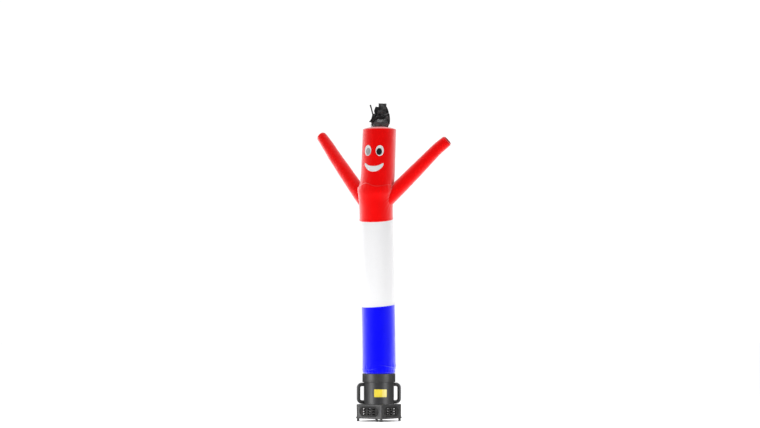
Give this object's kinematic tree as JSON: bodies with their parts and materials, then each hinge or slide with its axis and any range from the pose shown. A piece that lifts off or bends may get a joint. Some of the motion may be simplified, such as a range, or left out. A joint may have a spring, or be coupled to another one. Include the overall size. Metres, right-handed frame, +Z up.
{
  "type": "inflatable air dancer on its air blower",
  "caption": "Tall tube of thin cloth in blue, white and red with two open sleeves for arms, a smiling face and a black tuft, clamped on a square floor blower with carrying handles.",
  "frame": {"origin": "bottom centre of the whole object's box; the blower's axis stands at x -0.0215, y 0.0746", "axes": "+Z up, -Y towards the blower's front corner and label, +X towards the right-hand handle"},
  "size_m": [0.856, 0.568, 2.1503],
  "materials": {
    "red_cloth": "satin",
    "white_cloth": "satin",
    "blue_cloth": "satin",
    "black_cloth": "satin",
    "grey_cloth": "satin",
    "grey_plastic": "satin",
    "dark_plastic": "matte",
    "yellow_film": "gloss"
  },
  "bodies": {
    "root": {"blue_length": "blue_cloth", "white_length": "white_cloth", "red_length": "red_cloth", "crown": "red_cloth", "arm_left": "red_cloth", "arm_right": "red_cloth", "hair": "black_cloth", "eye_left": "white_cloth", "eye_right": "white_cloth", "mouth": "white_cloth", "pupil_left": "grey_cloth", "pupil_right": "black_cloth", "housing": "grey_plastic", "duct": "grey_plastic", "handle_left": "grey_plastic", "handle_right": "grey_plastic", "collar": "dark_plastic", "guard_1": "dark_plastic", "guard_2": "dark_plastic", "guard_3": "dark_plastic", "guard_4": "dark_plastic", "foot_1": "dark_plastic", "foot_2": "dark_plastic", "foot_3": "dark_plastic", "foot_4": "dark_plastic", "label": "yellow_film"}
  },
  "joints": []
}
